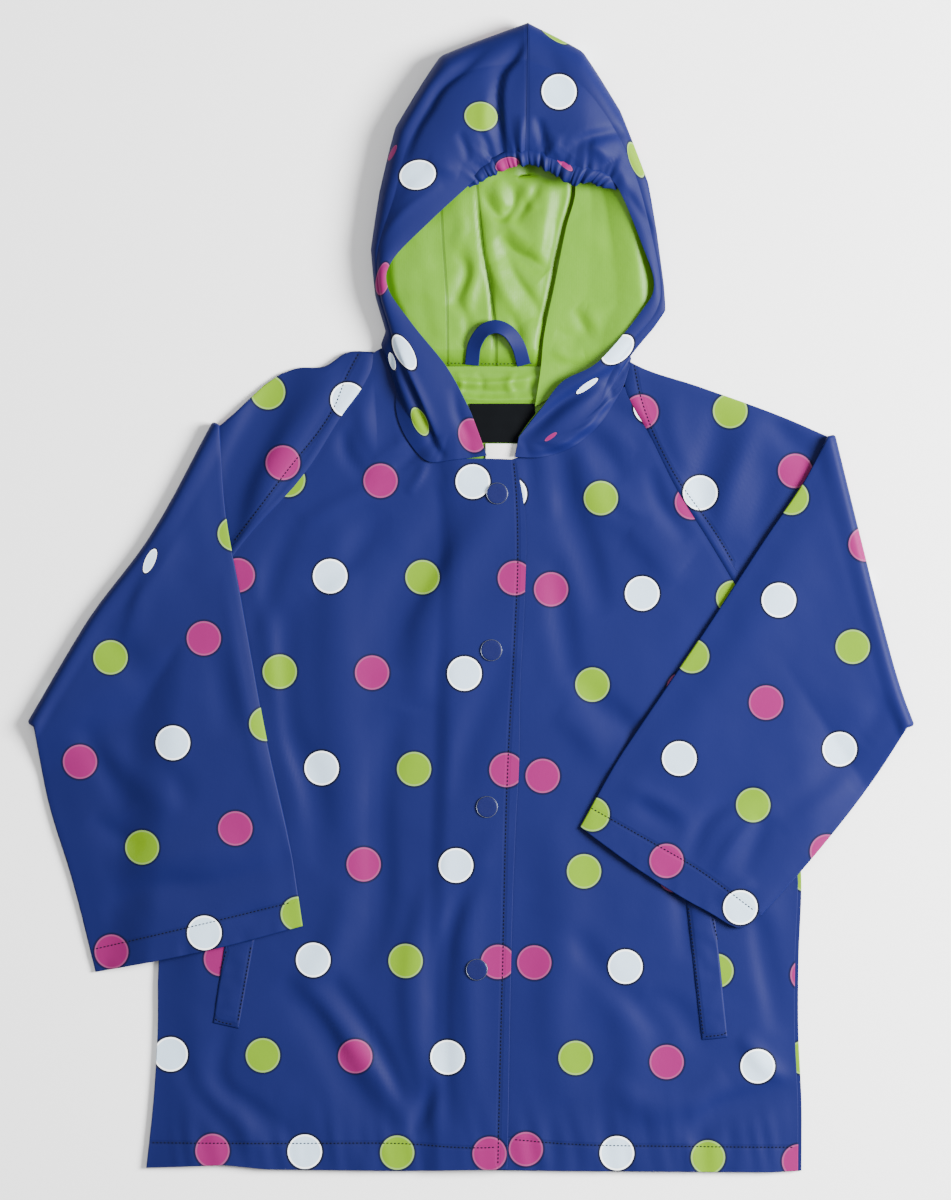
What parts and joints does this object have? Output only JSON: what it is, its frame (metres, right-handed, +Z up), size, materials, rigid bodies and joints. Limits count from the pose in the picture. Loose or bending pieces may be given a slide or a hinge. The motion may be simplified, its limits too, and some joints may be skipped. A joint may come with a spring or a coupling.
{
  "type": "toddler raincoat",
  "caption": "Hooded toddler raincoat laid flat, front up: raglan sleeves folded over snapped fronts, gathered hood edge, lining, hanger loop, pocket welts.",
  "frame": {"origin": "on the surface that the coat lies on, at the middle of its outline", "axes": "+Y from the hem to the top of the hood, +X to the wearer's left, +Z up from the surface, out of the coat's front"},
  "size_m": [0.6104, 0.7919, 0.039],
  "materials": {
    "coated_cloth": "satin, coated",
    "lining_cloth": "satin",
    "label_cloth": "woven",
    "tag_cloth": "woven",
    "snap_cap": "satin"
  },
  "bodies": {
    "root": {"back": "coated_cloth", "right_front": "coated_cloth", "left_front": "coated_cloth", "right_sleeve": "coated_cloth", "left_sleeve": "coated_cloth", "hood_right": "coated_cloth", "hood_left": "coated_cloth", "hood_casing": "coated_cloth", "lining_right": "lining_cloth", "lining_left": "lining_cloth", "back_neck": "lining_cloth", "hanger_loop": "coated_cloth", "neck_label": "label_cloth", "size_tag": "tag_cloth", "welt_right": "coated_cloth", "welt_left": "coated_cloth", "snap_1": "snap_cap", "snap_2": "snap_cap", "snap_3": "snap_cap", "snap_4": "snap_cap"}
  },
  "joints": []
}
